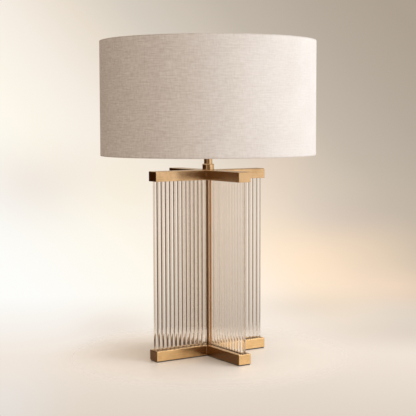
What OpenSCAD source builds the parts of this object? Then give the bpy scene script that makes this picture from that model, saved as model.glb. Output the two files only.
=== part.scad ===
// Column table lamp: four walls of glass rods stand between two brass crosses round a slim square
// post. A hollow threaded tube clamps the stack from the base nut to the neck, and carries the
// lamp socket, the harp and a linen drum shade.
// Units are millimetres, +Z is up, and the origin is the centre of the felt's underside.

/* [Crosses] */
// Length of each bar, from arm end to arm end
cross_span = 275; // [200:1:360]
// Width of a bar
bar_w = 30; // [24:0.5:40]
// Height of the base cross
base_bar_h = 21; // [20:0.5:30]
// Height of the top cross
top_bar_h = 21; // [14:0.5:30]
// Chamfer on the bars' edges
bar_chamfer = 0.6; // [0.2:0.1:1.5]
// Metal left between the last rod's groove and the arm's end
end_wall = 1.9; // [1:0.1:6]
// Thickness of the felt under the base
felt_t = 2; // [1:0.5:3]
// Step from the base's edge to the felt's edge
felt_inset = 1; // [0.5:0.5:3]

/* [Glass rods] */
// Diameter of a rod
rod_d = 9.9; // [8:0.1:12]
// Gap between neighbouring rods
rod_gap = 0.1; // [0.05:0.05:1]
// Gap between a rod and its groove's wall
rod_clearance = 0.15; // [0.05:0.05:0.5]
// Depth of the rod grooves
groove_depth = 7; // [4:0.5:8]
// Thickness of the rubber strip that cushions the rods' ends
cushion_t = 1; // [0.5:0.5:2]

/* [Post and tube] */
// Side of the square post
post_w = 10; // [9.5:0.5:14]
// Height of the post, and of the open space between the crosses
post_h = 354; // [240:1:440]
// Outside diameter of the hollow threaded tube
tube_d = 8; // [7:0.5:8.5]
// Bore of the threaded tube, which the flex runs through
tube_bore = 5.8; // [4:0.1:6]
// Gap between the tube and what it passes through
tube_clearance = 0.15; // [0.1:0.05:0.3]

/* [Flex entry] */
// Bore of the gland in the rear arm's end
gland_bore = 6.4; // [5:0.1:7]
// Diameter of the gland's body
gland_d = 9; // [8.5:0.1:10]
// Diameter of the gland's flange
gland_flange_d = 12; // [11:0.5:14]
// Thickness of the gland's flange
gland_flange_t = 1.5; // [1:0.5:3]
// Height of the gland's axis above the base cross's underside
gland_height = 7; // [7:0.5:8]
// Metal left at the rear arm's end, which the gland goes through
gland_wall = 5; // [4:0.5:8]
// Width of the flex channel in the underside
channel_w = 9; // [8:0.5:10]
// Height of the flex channel
channel_h = 11; // [10.5:0.5:11.5]
// Distance of the cord clamp from the centre
clamp_y = 60; // [40:1:85]
// Length of the cord clamp, across the channel
clamp_l = 22; // [21:0.5:22.5]
// Width of the cord clamp
clamp_w = 8; // [7:0.5:12]
// Thickness of the cord clamp
clamp_t = 2.4; // [1.5:0.1:3]
// Thread diameter of the clamp screws
clamp_screw_d = 3; // [2.5:0.5:3]

/* [Neck] */
// Diameter of the collar on the top cross
collar_d = 25; // [22:0.5:32]
// Height of the collar
collar_h = 13; // [11:0.5:20]
// Radius of the collar's shoulder
collar_shoulder = 1.5; // [0.5:0.25:2]
// Thread diameter of the collar's grub screw
collar_screw_d = 3; // [2:0.5:3]
// Turn of the grub screw from the front arm towards the left arm, in degrees
collar_screw_turn = 33; // [0:1:90]
// Diameter of the neck tube
neck_d = 18; // [17:0.5:20]
// Wall of the neck tube
neck_wall = 1.2; // [0.8:0.1:2]
// Length of neck that shows between the collar and the neck cap
neck_show = 38; // [25:1:60]

/* [Socket and bulb] */
// Outside diameter of the socket shell
socket_d = 33; // [32:0.5:36]
// Height of the socket shell above the socket cap
socket_h = 41; // [38:0.5:46]
// Height of the socket cap
socket_cap_h = 18; // [16:0.5:22]
// Wall of the socket shell and cap
socket_wall = 0.8; // [0.6:0.1:1]
// Diameter of the switch knob
knob_d = 11; // [9:0.5:14]
// Length of the switch knob
knob_l = 12; // [8:0.5:16]
// Diameter of the switch shaft
knob_shaft_d = 3.2; // [2.5:0.1:4]
// Largest diameter of the bulb
bulb_d = 60; // [55:1:64]
// Length of the bulb's glass above its cap
bulb_glass_h = 84; // [80:1:90]
// Diameter of the bulb's screw cap
bulb_cap_d = 26; // [25:0.5:26]

/* [Harp and finial] */
// Diameter of the harp's wire
harp_wire_d = 3.2; // [2.8:0.1:4]
// Half the distance between the harp's feet
harp_foot_x = 28.5; // [26:0.5:32]
// Width of the saddle's strip
saddle_w = 12; // [11.5:0.5:16]
// Thickness of the saddle's strip
saddle_t = 1.5; // [1.2:0.1:2]
// Outside diameter of a harp sleeve
sleeve_d = 7; // [6:0.5:9]
// Length of a harp sleeve
sleeve_h = 14; // [10:0.5:18]
// Bend radius at the harp's upper corners
harp_corner_r = 42; // [30:1:46]
// Diameter of the threaded stud on the harp
stud_d = 6.3; // [5:0.1:8]
// Diameter of the finial
finial_d = 15; // [12:0.5:20]
// Height of the finial
finial_h = 20; // [17:0.5:26]

/* [Shade] */
// Outside diameter of the shade
shade_d = 457; // [360:1:560]
// Height of the shade
shade_h = 240; // [200:1:300]
// Height of the shade's lower rim above the top cross
shade_lift = 31; // [20:1:45]
// Thickness of the linen cover
cover_t = 0.8; // [0.5:0.1:1.5]
// Thickness of the stiff liner
liner_t = 1; // [0.6:0.1:2]
// Diameter of the shade's ring wire and spokes
ring_wire_d = 3; // [2:0.5:4]
// How far the spider's washer lies below the upper rim
spider_drop = 13; // [10:0.5:18]
// Diameter of the spider's washer
washer_d = 26; // [20:1:32]
// Thickness of the spider's washer
washer_t = 1.5; // [1:0.1:2.5]
// How far the linen is turned in over the rims
hem_h = 9; // [6:0.5:14]

/* [Hidden] */
$fn = 96;
seat_gap = 0.1;  // gap between pieces that turn on each other
loose = 0.1;     // radial gap of a shaft or screw in its hole
brass = [0.68, 0.49, 0.27];
dark_brass = [0.45, 0.32, 0.18];
bright_steel = [0.75, 0.75, 0.77];
glass_tint = [0.85, 0.9, 0.9, 0.5];
linen = [0.86, 0.82, 0.76];

// heights of the stack
base_top = felt_t + base_bar_h;
top_bottom = base_top + post_h;
top_top = top_bottom + top_bar_h;
collar_top = top_top + collar_h;
neck_top = collar_top + neck_show;
cap_flange_t = 3;
saddle_z = neck_top + cap_flange_t;
socket_z = saddle_z + saddle_t;
shell_z = socket_z + socket_cap_h;
socket_top = shell_z + socket_h;
shade_bottom = top_top + shade_lift;
shade_top = shade_bottom + shade_h;
washer_z = shade_top - spider_drop;
seat_z = washer_z - seat_gap;

// rods: as many as fit between the arm's end and the post
rod_pitch = rod_d + rod_gap;
rod_outer = cross_span / 2 - end_wall - rod_clearance - rod_d / 2;
rod_inner_limit = post_w / 2 + rod_clearance + rod_d / 2;
rod_count = floor((rod_outer - rod_inner_limit) / rod_pitch) + 1;
rod_inner = rod_outer - (rod_count - 1) * rod_pitch;
groove_w = rod_d + 2 * rod_clearance;
rod_bottom = base_top - groove_depth + cushion_t;
rod_top = top_bottom + groove_depth - cushion_t;

// clamping nut and washer under the base
tube_hole_d = tube_d + 2 * tube_clearance;
nut_flats = tube_d + 5;
nut_h = 5;
nut_washer_d = tube_d + 10;
nut_washer_t = 1.5;
nut_recess_d = nut_washer_d + 2;
nut_recess_h = nut_h + nut_washer_t + 1.5;
tube_bottom = felt_t + 1;

// flex entry
gland_z = felt_t + gland_height;
gland_in = 2;
clamp_head_h = 1.8;
clamp_head_d = 1.8 * clamp_screw_d;
clamp_pocket_h = clamp_t + clamp_head_h + 0.4;
clamp_screw_l = 8;
clamp_screw_x = clamp_l / 2 - clamp_head_d / 2 - 0.6;

// neck
collar_socket_h = 6;
collar_screw_z = collar_top - collar_shoulder - collar_screw_d / 2 - 0.4;
collar_screw_proud = 0.5;
spigot_d = 10;
spigot_h = 9;
plug_h = 8;
tube_top = neck_top - 2;

// socket: the cap's hub sits on the neck's spigot and carries the body, whose flange carries the shell
socket_gap = 0.2;
cap_skirt_h = 4;
cap_corner_r = 6;
hub_wall = 3;
hub_h = spigot_h - saddle_t + 0.5;
body_z = socket_z + hub_h;
flange_h = 2;
insulator_wall = 0.6;
insulator_d = socket_d - 2 * socket_wall - 2 * socket_gap;
screw_shell_wall = 0.6;
screw_shell_d = bulb_cap_d + 2 * loose + 2 * screw_shell_wall;
screw_shell_h = 21;
screw_shell_z = socket_top - screw_shell_h - 2;
contact_d = 4.5;
contact_h = 1.6;
terminal_d = 3;
terminal_z = body_z + (shell_z - flange_h - body_z) / 2;
knob_z = shell_z + 9;
knob_shaft_in = screw_shell_d / 2 - 5;
knob_start = socket_d / 2 + 2.5;
knob_end_wall = 3;

// bulb
bulb_z = screw_shell_z + screw_shell_wall + contact_h + seat_gap;
bulb_tip_h = 2;
bulb_tip_r = 4.4;
bulb_cap_h = 24;
bulb_wall = 1;
bulb_glass_in = 4;
bulb_glass_z = bulb_z + bulb_tip_h + bulb_cap_h;

// harp
pin_top = saddle_z + 14;
sleeve_z = saddle_z + 7;
leg_h = sleeve_h + 10;
seat_t = 2.5;
harp_top = seat_z - seat_t - harp_wire_d / 2;
foot_bend_r = 10;
foot_bend = atan2(3, 4);
flank_run = 28;
shoulder_r = 14;
harp_half_w = harp_foot_x + (foot_bend_r + shoulder_r) * (1 - cos(foot_bend))
    + flank_run * sin(foot_bend);
side_run = harp_top - pin_top - leg_h - (foot_bend_r + shoulder_r) * sin(foot_bend)
    - flank_run * cos(foot_bend) - harp_corner_r;
stud_h = 14;
finial_wall = 1.3;
finial_foot_h = 2.5;

// shade
cover_r = shade_d / 2;
liner_r = cover_r - cover_t;
ring_r = liner_r - liner_t - ring_wire_d / 2 - 0.05;
lip_r = ring_r - ring_wire_d / 2 - 0.05;
spoke_count = 3;
first_spoke = 90;

// ---- shared shapes ----

module chamfered_rect(a, b, c) {
    x = a / 2;
    y = b / 2;
    polygon([
        [x - c, -y], [x, -y + c], [x, y - c], [x - c, y],
        [-x + c, y], [-x, y - c], [-x, -y + c], [-x + c, -y]
    ]);
}

// a bar along X with every edge chamfered, standing on z = 0
module chamfered_bar(length, width, height, c) {
    intersection() {
        linear_extrude(height) chamfered_rect(length, width, c);
        rotate([90, 0, 0]) linear_extrude(width + 1, center = true)
            translate([0, height / 2]) chamfered_rect(length, height, c);
        rotate([90, 0, 90]) linear_extrude(length + 1, center = true)
            translate([0, height / 2]) chamfered_rect(width, height, c);
    }
}

module cross(length, width, height, c) {
    for (turn = [0, 90]) rotate(turn) chamfered_bar(length, width, height, c);
}

module each_arm() {
    for (turn = [0:90:270]) rotate(turn) children();
}

// a slot with round ends between the innermost and the outermost rod
module rod_slot(width) {
    translate([rod_inner, 0]) circle(d = width);
    translate([rod_outer, 0]) circle(d = width);
    translate([rod_inner, -width / 2]) square([rod_outer - rod_inner, width]);
}

module tube(od, id, h) {
    difference() {
        cylinder(d = od, h = h);
        translate([0, 0, -1]) cylinder(d = id, h = h + 2);
    }
}

module hex_nut(flats, h, hole) {
    difference() {
        cylinder(d = flats / cos(30), h = h, $fn = 6);
        translate([0, 0, -1]) cylinder(d = hole, h = h + 2);
    }
}

// a profile of [radius, height] points, turned about Z
module turned(points) {
    rotate_extrude() polygon(points);
}

// points of a quarter round from angle a to angle b about [r, z]
function arc(r, z, radius, a, b, steps = 6) = [
    for (i = [0:steps]) let (turn = a + (b - a) * i / steps) [r + radius * cos(turn), z + radius * sin(turn)]
];

// ---- base ----

module base_felt() {
    color("dimgray") for (turn = [0, 90]) rotate(turn)
        translate([-cross_span / 2 + felt_inset, -bar_w / 2 + felt_inset, 0])
            cube([cross_span - 2 * felt_inset, bar_w - 2 * felt_inset, felt_t]);
}

module base_cross() {
    color(brass) difference() {
        translate([0, 0, felt_t]) cross(cross_span, bar_w, base_bar_h, bar_chamfer);
        translate([0, 0, base_top - groove_depth]) each_arm()
            linear_extrude(groove_depth + 1) rod_slot(groove_w);
        cylinder(d = tube_hole_d, h = base_top + 1);
        translate([0, 0, felt_t - 1]) cylinder(d = nut_recess_d, h = nut_recess_h + 1);
        flex_channel();
        clamp_pocket();
        gland_hole();
    }
}

module flex_channel() {
    translate([-channel_w / 2, 0, felt_t - 1])
        cube([channel_w, cross_span / 2 - gland_wall, channel_h + 1]);
}

module clamp_pocket() {
    translate([-clamp_l / 2 - 0.5, clamp_y - clamp_w / 2 - 0.5, felt_t - 1])
        cube([clamp_l + 1, clamp_w + 1, clamp_pocket_h + 1]);
    clamp_screw_places() translate([0, 0, clamp_pocket_h - 1])
        cylinder(d = clamp_screw_d + 2 * loose, h = clamp_screw_l - clamp_t + 1.5);
}

module clamp_screw_places() {
    for (side = [-1, 1]) translate([side * clamp_screw_x, clamp_y, felt_t]) children();
}

module gland_hole() {
    translate([0, cross_span / 2 - gland_wall - gland_in - 1, gland_z]) rotate([-90, 0, 0])
        cylinder(d = gland_d + 2 * loose, h = gland_wall + gland_in + 2);
}

module base_washer() {
    color(bright_steel) translate([0, 0, felt_t + nut_recess_h - nut_washer_t])
        tube(nut_washer_d, tube_hole_d, nut_washer_t);
}

module base_nut() {
    color(bright_steel) translate([0, 0, felt_t + nut_recess_h - nut_washer_t - nut_h])
        hex_nut(nut_flats, nut_h, tube_hole_d);
}

module cable_gland() {
    color(brass) translate([0, cross_span / 2, gland_z]) rotate([-90, 0, 0]) turned([
        [gland_bore / 2, -gland_wall - gland_in], [gland_d / 2, -gland_wall - gland_in], [gland_d / 2, 0],
        [gland_flange_d / 2, 0], [gland_flange_d / 2, gland_flange_t - 0.5],
        [gland_flange_d / 2 - 0.5, gland_flange_t], [gland_bore / 2, gland_flange_t]
    ]);
}

module cord_clamp() {
    z = felt_t + clamp_pocket_h - clamp_t;
    color("black") difference() {
        union() {
            translate([-clamp_l / 2, clamp_y - clamp_w / 2, z]) cube([clamp_l, clamp_w, clamp_t]);
            translate([-channel_w / 2 + 0.5, clamp_y - 1, z]) cube([channel_w - 1, 2, clamp_t + 1]);
        }
        clamp_screw_places() translate([0, 0, -1]) cylinder(d = clamp_screw_d + 2 * loose, h = 10);
    }
}

module clamp_screws() {
    color(bright_steel) clamp_screw_places() translate([0, 0, clamp_pocket_h - clamp_t]) {
        cylinder(d = clamp_screw_d, h = clamp_screw_l);
        translate([0, 0, -clamp_head_h]) difference() {
            cylinder(d = clamp_head_d, h = clamp_head_h);
            translate([-clamp_head_d, -0.4, -1]) cube([2 * clamp_head_d, 0.8, 1.8]);
        }
    }
}

// ---- rods, post and tube ----

module cushions() {
    color("darkslategray") each_arm() linear_extrude(cushion_t) rod_slot(groove_w - 0.4);
}

module lower_cushions() {
    translate([0, 0, base_top - groove_depth]) cushions();
}

module upper_cushions() {
    translate([0, 0, rod_top]) cushions();
}

// one arm's row of rods, turned to its arm
module rod_row(turn) {
    color(glass_tint) rotate(turn) for (i = [0:rod_count - 1])
        translate([rod_inner + i * rod_pitch, 0, rod_bottom]) cylinder(d = rod_d, h = rod_top - rod_bottom);
}

module centre_post() {
    color(brass) translate([0, 0, base_top]) difference() {
        linear_extrude(post_h) chamfered_rect(post_w, post_w, 0.4);
        translate([0, 0, -1]) cylinder(d = tube_hole_d, h = post_h + 2);
    }
}

module threaded_tube() {
    color(bright_steel) translate([0, 0, tube_bottom]) tube(tube_d, tube_bore, tube_top - tube_bottom);
}

module top_cross() {
    color(brass) difference() {
        translate([0, 0, top_bottom]) cross(cross_span, bar_w, top_bar_h, bar_chamfer);
        translate([0, 0, top_bottom - 1]) each_arm()
            linear_extrude(groove_depth + 1) rod_slot(groove_w);
        translate([0, 0, top_bottom - 1]) cylinder(d = tube_hole_d, h = top_bar_h + 2);
    }
}

// ---- neck ----

module neck_collar() {
    r = collar_d / 2;
    bore_r = tube_hole_d / 2;
    recess_z = collar_h - collar_socket_h;
    color(dark_brass) difference() {
        translate([0, 0, top_top]) rotate_extrude() difference() {
            union() {
                translate([bore_r, 0]) square([r - bore_r, collar_h - collar_shoulder]);
                translate([bore_r, 0]) square([r - collar_shoulder - bore_r, collar_h]);
                translate([r - collar_shoulder, collar_h - collar_shoulder]) circle(r = collar_shoulder);
            }
            translate([0, recess_z]) square([neck_d / 2 + loose, collar_h]);
        }
        at_collar_screw(neck_d / 2 - 1) cylinder(d = collar_screw_d + 2 * loose, h = collar_d / 2);
    }
}

// places its children on the grub screw's axis, a distance r from the lamp's axis and pointing outwards
module at_collar_screw(r) {
    rotate(-collar_screw_turn) translate([0, -r, collar_screw_z]) rotate([90, 0, 0]) children();
}

module collar_screw() {
    tip_r = neck_d / 2 + loose / 2;
    length = collar_d / 2 + collar_screw_proud - tip_r;
    key_d = collar_screw_d / 2;
    color(dark_brass) at_collar_screw(tip_r) difference() {
        cylinder(d = collar_screw_d, h = length);
        translate([0, 0, length - 1.5]) cylinder(d = key_d / cos(30), h = 2, $fn = 6);
    }
}

module neck_tube() {
    bottom = collar_top - collar_socket_h;
    color(brass) translate([0, 0, bottom]) tube(neck_d, neck_d - 2 * neck_wall, neck_top - bottom);
}

module neck_cap() {
    plug_r = neck_d / 2 - neck_wall - loose;
    bore_r = tube_hole_d / 2;
    way_r = tube_bore / 2;
    color(brass) translate([0, 0, neck_top]) turned([
        [bore_r, -plug_h], [plug_r, -plug_h], [plug_r, 0], [neck_d / 2 + 1, 0],
        [neck_d / 2 + 1, cap_flange_t - 0.8], [neck_d / 2 + 0.2, cap_flange_t],
        [spigot_d / 2, cap_flange_t], [spigot_d / 2, cap_flange_t + spigot_h],
        [way_r, cap_flange_t + spigot_h], [way_r, -1.9], [bore_r, -1.9]
    ]);
}

// ---- harp ----

// wire that starts at the origin along +Z; each step is [length, 0] or [radius, turn towards +X]
module wire(steps, i = 0) {
    if (i < len(steps)) {
        size = steps[i][0];
        turn = steps[i][1];
        if (turn == 0) {
            cylinder(d = harp_wire_d, h = size);
            translate([0, 0, size]) wire(steps, i + 1);
        } else {
            side = sign(turn);
            mirror([side > 0 ? 0 : 1, 0, 0]) translate([size, 0, 0]) rotate([90, 0, 180])
                rotate_extrude(angle = abs(turn)) translate([size, 0]) circle(d = harp_wire_d);
            translate([side * size * (1 - cos(turn)), 0, size * abs(sin(turn))])
                rotate([0, turn, 0]) wire(steps, i + 1);
        }
    }
}

module each_foot() {
    for (side = [0, 1]) mirror([side, 0, 0]) translate([harp_foot_x, 0, 0]) children();
}

module harp_bow() {
    color(brass) each_foot() translate([0, 0, pin_top]) wire([
        [leg_h, 0], [foot_bend_r, foot_bend], [flank_run, 0], [shoulder_r, -foot_bend],
        [side_run, 0], [harp_corner_r, -90], [harp_half_w - harp_corner_r, 0]
    ]);
}

// the strip under the socket, whose upturned ends carry the pins that the harp's feet stand on
module harp_saddle() {
    bend_r = 5;
    flat = harp_foot_x - bend_r + saddle_t / 2;
    ear_top = sleeve_z - 0.2;
    color(brass) difference() {
        union() {
            translate([-flat, -saddle_w / 2, saddle_z]) cube([2 * flat, saddle_w, saddle_t]);
            each_foot() {
                translate([-bend_r + saddle_t / 2, saddle_w / 2, saddle_z + bend_r]) rotate([90, 0, 0])
                    rotate_extrude(angle = -90) translate([bend_r - saddle_t, 0]) square([saddle_t, saddle_w]);
                translate([-saddle_t / 2, -saddle_w / 2, saddle_z + bend_r])
                    cube([saddle_t, saddle_w, ear_top - saddle_z - bend_r]);
                translate([0, 0, ear_top - 1]) cylinder(d = harp_wire_d, h = pin_top - ear_top + 1);
            }
        }
        translate([0, 0, saddle_z - 1]) cylinder(d = spigot_d + 2 * loose, h = saddle_t + 2);
    }
}

module harp_seat() {
    color(brass) translate([0, 0, harp_top]) difference() {
        union() {
            translate([0, 0, -harp_wire_d / 2 - 0.8]) cylinder(d = 14, h = harp_wire_d + seat_t + 0.8);
            cylinder(d = stud_d, h = harp_wire_d / 2 + seat_t + stud_h);
        }
        translate([-10, 0, 0]) rotate([0, 90, 0]) cylinder(d = harp_wire_d + 0.1, h = 20);
    }
}

module sleeve(side) {
    color(brass) translate([side * harp_foot_x, 0, sleeve_z]) difference() {
        union() {
            cylinder(d = sleeve_d, h = sleeve_h);
            cylinder(d = sleeve_d + 1.2, h = 2);
            translate([0, 0, sleeve_h - 2]) cylinder(d = sleeve_d + 1.2, h = 2);
        }
        translate([0, 0, -1]) cylinder(d = harp_wire_d + 2 * loose, h = sleeve_h + 2);
    }
}

module finial() {
    stem_r = stud_d / 2 + loose + finial_wall;
    ball_r = finial_d / 2;
    ball_z = finial_h - ball_r;
    bore = stud_h - washer_t - 2 * seat_gap + 0.5;
    color(brass) translate([0, 0, washer_z + washer_t + seat_gap]) difference() {
        rotate_extrude() {
            square([ball_r, finial_foot_h]);
            square([stem_r, ball_z]);
            intersection() {
                translate([0, ball_z]) circle(r = ball_r);
                square([ball_r, finial_h]);
            }
        }
        translate([0, 0, -1]) cylinder(d = stud_d + 2 * loose, h = bore + 1);
    }
}

// ---- socket ----

module socket_cap() {
    r = socket_d / 2 + socket_wall + socket_gap;
    inner_r = r - socket_wall;
    hub_r = spigot_d / 2 + hub_wall;
    corner_r = r - cap_corner_r;
    top = socket_cap_h + cap_skirt_h;
    outer = concat([[hub_r, 0]], arc(corner_r, cap_corner_r, cap_corner_r, -90, 0), [[r, top]]);
    inner = concat(
        [[inner_r, top]],
        arc(corner_r, cap_corner_r, cap_corner_r - socket_wall, 0, -90),
        [[hub_r, socket_wall], [hub_r, hub_h], [spigot_d / 2 + loose, hub_h], [spigot_d / 2 + loose, 0]]
    );
    color(brass) translate([0, 0, socket_z]) turned(concat(outer, inner));
}

module socket_shell() {
    r = socket_d / 2;
    bead = 0.8;
    color(brass) difference() {
        translate([0, 0, shell_z]) turned([
            [r - socket_wall, 0], [r, 0], [r, socket_h - 2], [r + bead, socket_h - 1],
            [r + bead, socket_h], [r - socket_wall, socket_h]
        ]);
        switch_way(knob_shaft_d + 1);
    }
}

module switch_way(d) {
    translate([0, 0, knob_z]) rotate([90, 0, 0]) cylinder(d = d, h = socket_d);
}

module socket_insulator() {
    color("saddlebrown") difference() {
        translate([0, 0, shell_z]) tube(insulator_d, insulator_d - 2 * insulator_wall, socket_h - 1);
        switch_way(knob_shaft_d + 1);
    }
}

module socket_body() {
    shaft_hole_d = knob_shaft_d + 2 * loose;
    color("black") difference() {
        union() {
            translate([0, 0, body_z]) cylinder(d = screw_shell_d, h = screw_shell_z - body_z);
            translate([0, 0, shell_z - flange_h]) cylinder(d = socket_d, h = flange_h);
        }
        translate([0, -knob_shaft_in + 0.5, knob_z]) rotate([90, 0, 0])
            cylinder(d = shaft_hole_d, h = screw_shell_d);
        each_terminal() cylinder(d = terminal_d + 2 * loose, h = 6);
        translate([0, 0, body_z - 1]) cylinder(d = tube_bore, h = 8);
    }
}

module each_terminal() {
    for (side = [-1, 1]) translate([side * (screw_shell_d / 2 - 3), 0, terminal_z])
        rotate([0, side * 90, 0]) children();
}

module terminal_screws() {
    color(dark_brass) each_terminal() translate([0, 0, 0.2]) {
        cylinder(d = terminal_d, h = 2.8);
        translate([0, 0, 2.8]) cylinder(d = terminal_d + 2, h = 0.9);
    }
}

module screw_shell() {
    r = screw_shell_d / 2;
    hole_r = contact_d / 2 + 1;
    color(dark_brass) translate([0, 0, screw_shell_z]) turned([
        [hole_r, 0], [r, 0], [r, screw_shell_h], [r - screw_shell_wall, screw_shell_h],
        [r - screw_shell_wall, screw_shell_wall], [hole_r, screw_shell_wall]
    ]);
}

module centre_contact() {
    color(brass) translate([0, 0, screw_shell_z]) cylinder(d = contact_d, h = screw_shell_wall + contact_h);
}

module switch_shaft() {
    color(dark_brass) translate([0, -knob_shaft_in, knob_z]) rotate([90, 0, 0])
        cylinder(d = knob_shaft_d, h = knob_start + knob_l - knob_end_wall - knob_shaft_in);
}

module switch_knob() {
    r = knob_d / 2;
    shaft_r = knob_shaft_d / 2;
    color("black") translate([0, -knob_start, knob_z]) rotate([90, 0, 0]) intersection() {
        linear_extrude(knob_l) fluted_circle(r, 12, 1.6);
        turned([
            [shaft_r, 0], [r - 1.3, 0], [r + 0.2, 1.5], [r + 0.2, knob_l - 1.2], [r - 1, knob_l],
            [0, knob_l], [0, knob_l - knob_end_wall], [shaft_r, knob_l - knob_end_wall]
        ]);
    }
}

module fluted_circle(r, flutes, flute_d) {
    difference() {
        circle(r);
        for (i = [0:flutes - 1]) rotate((i + 0.5) * 360 / flutes) translate([r + flute_d / 4, 0])
            circle(d = flute_d);
    }
}

// ---- bulb ----

module bulb_glass() {
    color("white") translate([0, 0, bulb_glass_z]) rotate_extrude() difference() {
        bulb_outline(0);
        bulb_outline(bulb_wall);
        translate([-bulb_d, -bulb_d]) square([bulb_d, 2 * bulb_glass_h]);
    }
}

// half the envelope's outline: a ball on a neck that flares to meet it
module bulb_outline(inset) {
    neck_r = bulb_cap_d / 2 - 0.5 - inset;
    ball_r = bulb_d / 2 - inset;
    ball_z = bulb_glass_h - bulb_d / 2;
    meet = 35;
    meet_z = ball_z - ball_r * sin(meet);
    bottom = -bulb_glass_in - inset;
    translate([0, ball_z]) circle(r = ball_r);
    polygon([
        [0, bottom], [neck_r, bottom], [neck_r, 4], [neck_r + 2, 14],
        [ball_r * cos(meet), meet_z], [0, meet_z]
    ]);
}

module bulb_cap() {
    r = bulb_cap_d / 2;
    tip_r = bulb_tip_r + 0.1;
    pocket_r = r - 0.5 + 0.05;
    pocket_z = bulb_cap_h - bulb_glass_in - 0.2;
    color(bright_steel) translate([0, 0, bulb_z + bulb_tip_h]) turned([
        [tip_r, 0], [tip_r + 2.5, 0], [r, 4], [r, bulb_cap_h], [pocket_r, bulb_cap_h],
        [pocket_r, pocket_z], [tip_r, pocket_z]
    ]);
}

module bulb_contact() {
    color(dark_brass) translate([0, 0, bulb_z]) turned([
        [0, 0], [bulb_tip_r - 1, 0], [bulb_tip_r, bulb_tip_h], [bulb_tip_r, bulb_tip_h + 2],
        [0, bulb_tip_h + 2]
    ]);
}

// ---- shade ----

module rim_ring(z) {
    translate([0, 0, z]) rotate_extrude() translate([ring_r, 0]) circle(d = ring_wire_d);
}

top_ring_z = shade_top - cover_t - 0.05 - ring_wire_d / 2;
bottom_ring_z = shade_bottom + cover_t + 0.05 + ring_wire_d / 2;

module shade_top_ring() {
    color("white") rim_ring(top_ring_z);
}

module shade_bottom_ring() {
    color("white") rim_ring(bottom_ring_z);
}

// runs a child cylinder along each spoke, from the washer up to the ring
module spokes(d, over) {
    start_r = washer_d / 2 - 2;
    rise = top_ring_z - washer_z - washer_t / 2;
    run = ring_r - start_r;
    for (i = [0:spoke_count - 1]) rotate(first_spoke + i * 360 / spoke_count)
        translate([start_r, 0, washer_z + washer_t / 2]) rotate([0, 90 - atan2(rise, run), 0])
            cylinder(d = d, h = norm([run, rise]) + over);
}

module shade_spider() {
    color("white") difference() {
        union() {
            translate([0, 0, washer_z]) cylinder(d = washer_d, h = washer_t);
            spokes(ring_wire_d, 0);
        }
        translate([0, 0, washer_z - 5]) cylinder(d = stud_d + 2 * loose, h = 12);
        translate([0, 0, top_ring_z]) rotate_extrude() translate([ring_r, 0])
            circle(d = ring_wire_d + 0.1);
    }
}

module shade_liner() {
    z = cover_t + 0.05;
    color("ivory") translate([0, 0, shade_bottom + z])
        tube(2 * liner_r - 0.1, 2 * (liner_r - liner_t), shade_h - 2 * z);
}

// the linen: a skin over the liner, turned in over both rims
module shade_cover() {
    inner_r = lip_r - cover_t;
    color(linen) difference() {
        translate([0, 0, shade_bottom]) turned([
            [inner_r, 0], [cover_r, 0], [cover_r, shade_h], [inner_r, shade_h],
            [inner_r, shade_h - hem_h], [lip_r, shade_h - hem_h], [lip_r, shade_h - cover_t],
            [liner_r, shade_h - cover_t], [liner_r, cover_t], [lip_r, cover_t],
            [lip_r, hem_h], [inner_r, hem_h]
        ]);
        intersection() {
            spokes(ring_wire_d + 0.4, 0);
            cylinder(r = lip_r + 0.5, h = shade_top + 1);
        }
    }
}

base_felt();
base_cross();
base_nut();
base_washer();
cable_gland();
cord_clamp();
clamp_screws();
lower_cushions();
rod_row(-90);  // front_rods
rod_row(90);  // rear_rods
rod_row(180);  // left_rods
rod_row(0);  // right_rods
centre_post();
threaded_tube();
upper_cushions();
top_cross();
neck_collar();
collar_screw();
neck_tube();
neck_cap();
harp_saddle();
socket_cap();
socket_shell();
socket_insulator();
socket_body();
screw_shell();
centre_contact();
terminal_screws();
switch_shaft();
switch_knob();
bulb_glass();
bulb_cap();
bulb_contact();
harp_bow();
harp_seat();
sleeve(-1);  // left_sleeve
sleeve(1);  // right_sleeve
finial();
shade_spider();
shade_top_ring();
shade_bottom_ring();
shade_liner();
shade_cover();
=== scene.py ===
import bpy
import random
from math import atan2, cos, pi, radians, sin
from mathutils import Matrix, Vector, noise


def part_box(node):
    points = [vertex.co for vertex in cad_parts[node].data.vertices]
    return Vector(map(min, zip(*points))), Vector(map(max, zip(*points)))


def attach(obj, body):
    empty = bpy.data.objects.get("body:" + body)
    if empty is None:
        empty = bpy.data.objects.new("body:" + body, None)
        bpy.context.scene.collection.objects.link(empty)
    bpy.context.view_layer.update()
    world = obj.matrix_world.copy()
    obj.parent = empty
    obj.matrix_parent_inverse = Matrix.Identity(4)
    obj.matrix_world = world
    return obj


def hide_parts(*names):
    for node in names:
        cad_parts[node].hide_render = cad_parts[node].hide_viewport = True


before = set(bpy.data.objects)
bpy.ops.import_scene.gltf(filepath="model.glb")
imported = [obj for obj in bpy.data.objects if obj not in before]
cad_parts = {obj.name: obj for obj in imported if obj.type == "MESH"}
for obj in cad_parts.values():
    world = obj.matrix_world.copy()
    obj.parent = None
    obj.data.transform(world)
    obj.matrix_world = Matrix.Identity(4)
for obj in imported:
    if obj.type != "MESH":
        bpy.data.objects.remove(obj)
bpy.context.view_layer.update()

# what the mesh helpers share, in metres and degrees
meshCare = {
    "start": 0.001,          # the small plane that a profile grows from
    "weld": 1e-6,
    "profileWeld": 1e-7,
    "flatWithin": 1,         # CAD facets that turn less than this are one flat face
    "roundAbove": 32,        # edges that turn more than this are rounded
    "smoothBelow": 40,
}


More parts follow.
